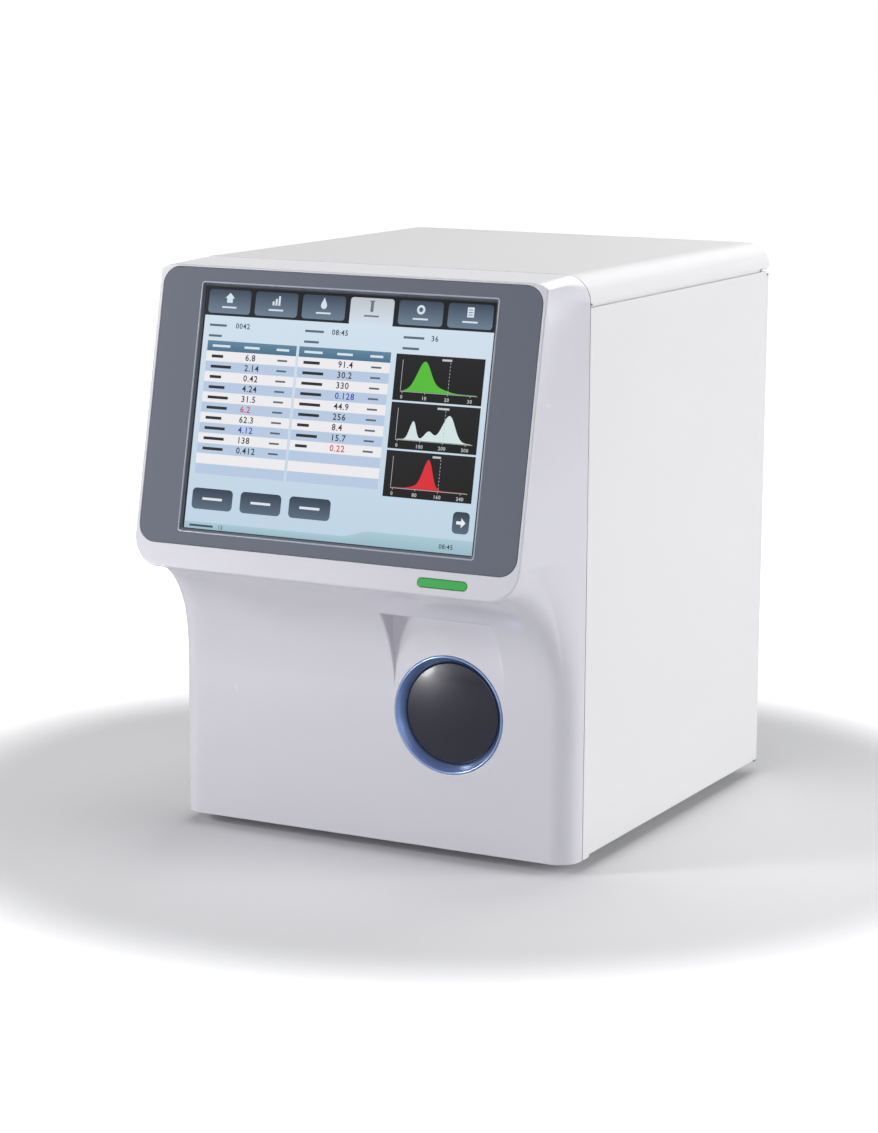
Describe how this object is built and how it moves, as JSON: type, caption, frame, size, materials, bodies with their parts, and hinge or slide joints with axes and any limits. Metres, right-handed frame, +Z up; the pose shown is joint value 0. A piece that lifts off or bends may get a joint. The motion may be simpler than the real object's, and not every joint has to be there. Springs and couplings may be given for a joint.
{
  "type": "hematology analyzer",
  "caption": "Benchtop blood cell analyzer with an overhanging head, tilted touch screen, round sampling key in a lit ring and an alcove for a tube under the sample probe.",
  "frame": {"origin": "middle of the overall footprint, on the table under the feet", "axes": "+Z up, -Y out of the front with the screen and the key, +X to the right seen from the front"},
  "size_m": [0.3, 0.4084, 0.394],
  "materials": {
    "white_plastic": "satin moulded cover, lavender white",
    "white_panel": "satin white panel paint",
    "slate_plastic": "satin slate grey",
    "black_plastic": "fine matt black",
    "charcoal_gloss": "high gloss charcoal",
    "blue_ring": "tinted translucent blue",
    "green_lens": "translucent green",
    "screen_glass": "lit display under clear touch glass",
    "zinc_steel": "zinc plated sheet",
    "bright_steel": "ground bright steel",
    "aluminium": "clear anodised",
    "rubber": "matt black",
    "green_board": "green solder resist",
    "clear_plastic": "clear acrylic",
    "natural_plastic": "natural white engineering plastic"
  },
  "bodies": {
    "chassis": {"front_cover": "white_plastic", "screen_bezel": "slate_plastic", "touch_panel": "screen_glass", "lcd_module": "zinc_steel", "display_bracket": "zinc_steel", "display_board": "green_board", "status_light": "green_lens", "status_light_board": "green_board", "key_ring": "blue_ring", "key_housing": "black_plastic", "key_switch": "green_board", "base_plate": "zinc_steel", "foot_front_left": "rubber", "foot_rear_left": "rubber", "foot_front_right": "rubber", "foot_rear_right": "rubber", "front_frame": "zinc_steel", "center_partition": "zinc_steel", "rear_panel": "zinc_steel", "top_cover": "white_panel", "left_side_panel": "white_panel", "door_catch": "black_plastic", "sampling_plate": "zinc_steel", "travel_rail": "bright_steel", "travel_motor": "black_plastic", "travel_belt": "rubber", "bath_bracket": "zinc_steel", "wbc_bath": "clear_plastic", "rbc_bath": "clear_plastic", "syringe_frame": "aluminium", "diluent_barrel": "clear_plastic", "lyse_barrel": "clear_plastic", "syringe_motor": "black_plastic", "valve_bank": "natural_plastic", "waste_pump": "black_plastic", "vacuum_pump": "aluminium", "vacuum_chamber": "clear_plastic", "main_board": "green_board", "power_supply": "zinc_steel", "fan_housing": "black_plastic", "fan_guard": "bright_steel", "mains_inlet": "black_plastic", "power_switch": "black_plastic", "port_plate": "natural_plastic", "connector_block": "zinc_steel"},
    "key_button": {"sample_key": "charcoal_gloss", "key_spring": "bright_steel"},
    "carriage": {"probe_carriage": "aluminium", "lift_motor": "black_plastic", "probe_wipe": "clear_plastic"},
    "probe_unit": {"probe_holder": "natural_plastic", "sample_probe": "bright_steel"},
    "probe_screw": {"lift_screw": "bright_steel"},
    "drive_pulley": {"motor_pulley": "aluminium"},
    "return_pulley": {"idler_pulley": "aluminium"},
    "plungers": {"plunger_carrier": "natural_plastic"},
    "plunger_screw": {"syringe_screw": "bright_steel"},
    "door": {"service_door": "white_panel"},
    "fan_wheel": {"fan_rotor": "black_plastic"},
    "rocker": {"power_rocker": "black_plastic"}
  },
  "joints": [
    {"name": "key_press", "type": "slide", "parent": "chassis", "child": "key_button", "axis": [0, 1, 0], "range_m": [0, 0.0025], "stiffness_N_per_m": 700, "springref_m": -0.001},
    {"name": "carriage_travel", "type": "slide", "parent": "chassis", "child": "carriage", "axis": [0, 1, 0], "range_m": [0, 0.105]},
    {"name": "probe_drop", "type": "slide", "parent": "carriage", "child": "probe_unit", "axis": [0, 0, -1], "range_m": [0, 0.06]},
    {"name": "probe_screw_turn", "type": "hinge", "parent": "carriage", "child": "probe_screw", "pos_m": [0.059, -0.13025, 0.25], "axis": [0, 0, 1], "range_deg": [0, 2700.01]},
    {"name": "drive_pulley_turn", "type": "hinge", "parent": "chassis", "child": "drive_pulley", "pos_m": [0.027, 0.01175, 0.272], "axis": [1, 0, 0], "range_deg": [-695.51, 0]},
    {"name": "return_pulley_turn", "type": "hinge", "parent": "chassis", "child": "return_pulley", "pos_m": [0.027, -0.13625, 0.272], "axis": [1, 0, 0], "range_deg": [-695.51, 0]},
    {"name": "plunger_stroke", "type": "slide", "parent": "chassis", "child": "plungers", "axis": [0, 0, -1], "range_m": [0, 0.05]},
    {"name": "plunger_screw_turn", "type": "hinge", "parent": "chassis", "child": "plunger_screw", "pos_m": [0.038, 0.06175, 0.175], "axis": [0, 0, 1], "range_deg": [0, 1800.01]},
    {"name": "door_swing", "type": "hinge", "parent": "chassis", "child": "door", "pos_m": [0.1474, 0.18915, 0.19], "axis": [0, 0, 1], "range_deg": [0, 110]},
    {"name": "fan_spin", "type": "hinge", "parent": "chassis", "child": "fan_wheel", "pos_m": [-0.075, 0.17375, 0.25], "axis": [0, 1, 0], "continuous": true},
    {"name": "power_rock", "type": "hinge", "parent": "chassis", "child": "rocker", "pos_m": [-0.076, 0.18695, 0.042], "axis": [1, 0, 0], "range_deg": [-15.33, 0]}
  ],
  "couplings": [
    {"joint": "probe_screw_turn", "follows": "probe_drop", "rad_per_m": 785.4},
    {"joint": "drive_pulley_turn", "follows": "carriage_travel", "rad_per_m": -115.61},
    {"joint": "return_pulley_turn", "follows": "carriage_travel", "rad_per_m": -115.61},
    {"joint": "plunger_screw_turn", "follows": "plunger_stroke", "rad_per_m": 628.32}
  ]
}
